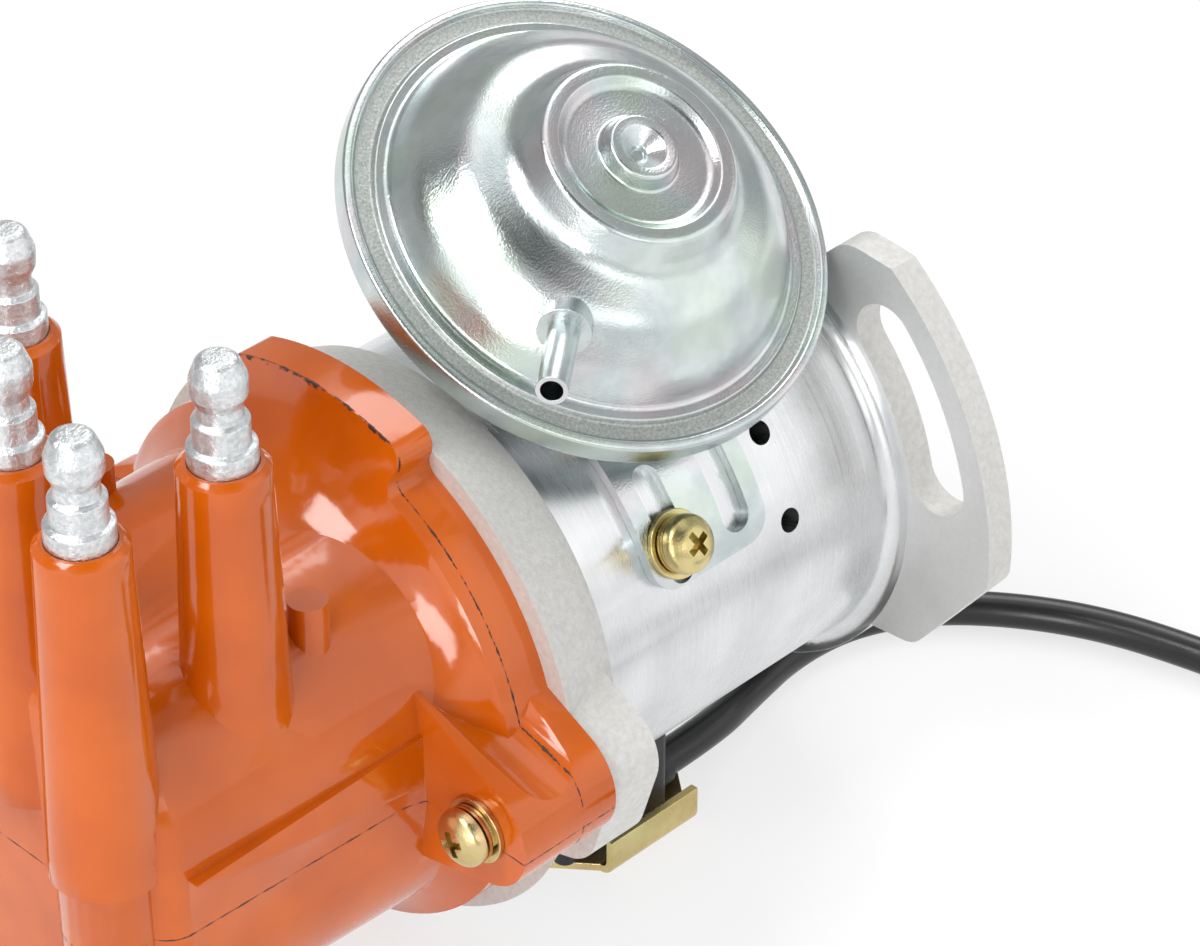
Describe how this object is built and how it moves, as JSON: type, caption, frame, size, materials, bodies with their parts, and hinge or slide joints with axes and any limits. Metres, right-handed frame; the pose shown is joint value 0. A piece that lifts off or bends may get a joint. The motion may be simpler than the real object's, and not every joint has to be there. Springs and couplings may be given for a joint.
{
  "type": "ignition distributor",
  "caption": "Camshaft-driven ignition distributor: cast housing with slotted flange, orange-brown cap with side towers, tilted vacuum advance can, signal lead and drive dog.",
  "frame": {"origin": "centre of the flange's mounting face, on the shaft axis", "axes": "+X along the shaft out of the drive end, +Z the way the cap's towers point, +Y to the far side of the vacuum can"},
  "size_m": [0.1812, 0.1643, 0.1104],
  "materials": {
    "cast_aluminium": "die-cast, fine-blasted, chromated",
    "cap_moulding": "compression-moulded thermoset, glossy orange-brown",
    "terminal_metal": "turned, bright",
    "rotor_moulding": "moulded, red-brown",
    "clear_zinc": "clear-passivated zinc plate, drawn sheet",
    "yellow_zinc": "yellow-passivated zinc plate",
    "zinc_fasteners": "zinc-plated steel",
    "ground_steel": "ground and hardened",
    "spring_steel": "oil-tempered wire",
    "bush_bronze": "sintered bronze, oiled",
    "contact_brass": "stamped, bare",
    "seal_rubber": "nitrile, smooth",
    "black_nylon": "moulded glass-filled nylon, black",
    "lead_jacket": "extruded flexible jacket, black",
    "carbon": "pressed carbon"
  },
  "bodies": {
    "housing": {"housing": "cast_aluminium", "distributor_cap": "cap_moulding", "tower_terminals": "terminal_metal", "cap_electrodes": "terminal_metal", "brush_spring": "spring_steel", "cap_screws": "yellow_zinc", "cap_screw_spring_washers": "yellow_zinc", "cap_screw_washers": "yellow_zinc", "o_ring": "seal_rubber", "front_bush": "bush_bronze", "thrust_washer": "ground_steel", "base_plate": "ground_steel", "base_plate_screws": "zinc_fasteners", "pickup_retainer": "zinc_fasteners", "dust_cover": "black_nylon", "vacuum_dome": "clear_zinc", "vacuum_pan": "clear_zinc", "vacuum_nipple": "clear_zinc", "diaphragm": "seal_rubber", "vacuum_spring": "spring_steel", "vacuum_bracket": "clear_zinc", "bracket_screws": "yellow_zinc", "bracket_spring_washers": "yellow_zinc", "bracket_washers": "yellow_zinc", "lead_block": "black_nylon", "block_bracket": "yellow_zinc", "block_screws": "yellow_zinc", "signal_lead": "lead_jacket", "lead_plug": "black_nylon", "plug_pins": "contact_brass"},
    "drive": {"drive_shaft": "ground_steel", "weight_carrier": "ground_steel", "weight_pivots": "ground_steel", "drive_coupling": "ground_steel", "coupling_pin": "ground_steel", "coupling_clip": "spring_steel", "advance_springs": "spring_steel"},
    "fly_weight_a": {"weight_a": "ground_steel"},
    "fly_weight_b": {"weight_b": "ground_steel"},
    "cam_sleeve": {"advance_cam_plate": "ground_steel", "advance_sleeve": "ground_steel", "trigger_vane": "ground_steel", "rotor_arm": "rotor_moulding", "rotor_contact": "contact_brass"},
    "pickup": {"pickup_plate": "ground_steel", "hall_sensor": "black_nylon", "sensor_rivets": "zinc_fasteners"},
    "vacuum_rod": {"pull_rod": "ground_steel", "diaphragm_plates": "ground_steel"},
    "brush": {"carbon_brush": "carbon"}
  },
  "joints": [
    {"name": "shaft_spin", "type": "hinge", "parent": "housing", "child": "drive", "pos_m": [0, 0, 0], "axis": [1, 0, 0], "continuous": true},
    {"name": "centrifugal_advance", "type": "hinge", "parent": "drive", "child": "cam_sleeve", "pos_m": [0, 0, 0], "axis": [1, 0, 0], "range_deg": [-12, 0]},
    {"name": "weight_swing_a", "type": "hinge", "parent": "drive", "child": "fly_weight_a", "pos_m": [0, 0.013, 0], "axis": [1, 0, 0], "range_deg": [-15.6, 0]},
    {"name": "weight_swing_b", "type": "hinge", "parent": "drive", "child": "fly_weight_b", "pos_m": [0, -0.013, 0], "axis": [1, 0, 0], "range_deg": [-15.6, 0]},
    {"name": "vacuum_advance", "type": "hinge", "parent": "housing", "child": "pickup", "pos_m": [0, 0, 0], "axis": [1, 0, 0], "range_deg": [0, 10]},
    {"name": "vacuum_pull", "type": "slide", "parent": "housing", "child": "vacuum_rod", "axis": [0, -0.5373, 0.8434], "range_m": [0, 0.00382]},
    {"name": "brush_slide", "type": "slide", "parent": "housing", "child": "brush", "axis": [-1, 0, 0], "range_m": [0, 0.002], "stiffness_N_per_m": 60, "springref_m": -0.002}
  ],
  "couplings": [
    {"joint": "weight_swing_a", "follows": "centrifugal_advance", "ratio": 1.2949},
    {"joint": "weight_swing_b", "follows": "centrifugal_advance", "ratio": 1.2949},
    {"joint": "vacuum_pull", "follows": "vacuum_advance", "m_per_rad": 0.0218}
  ]
}
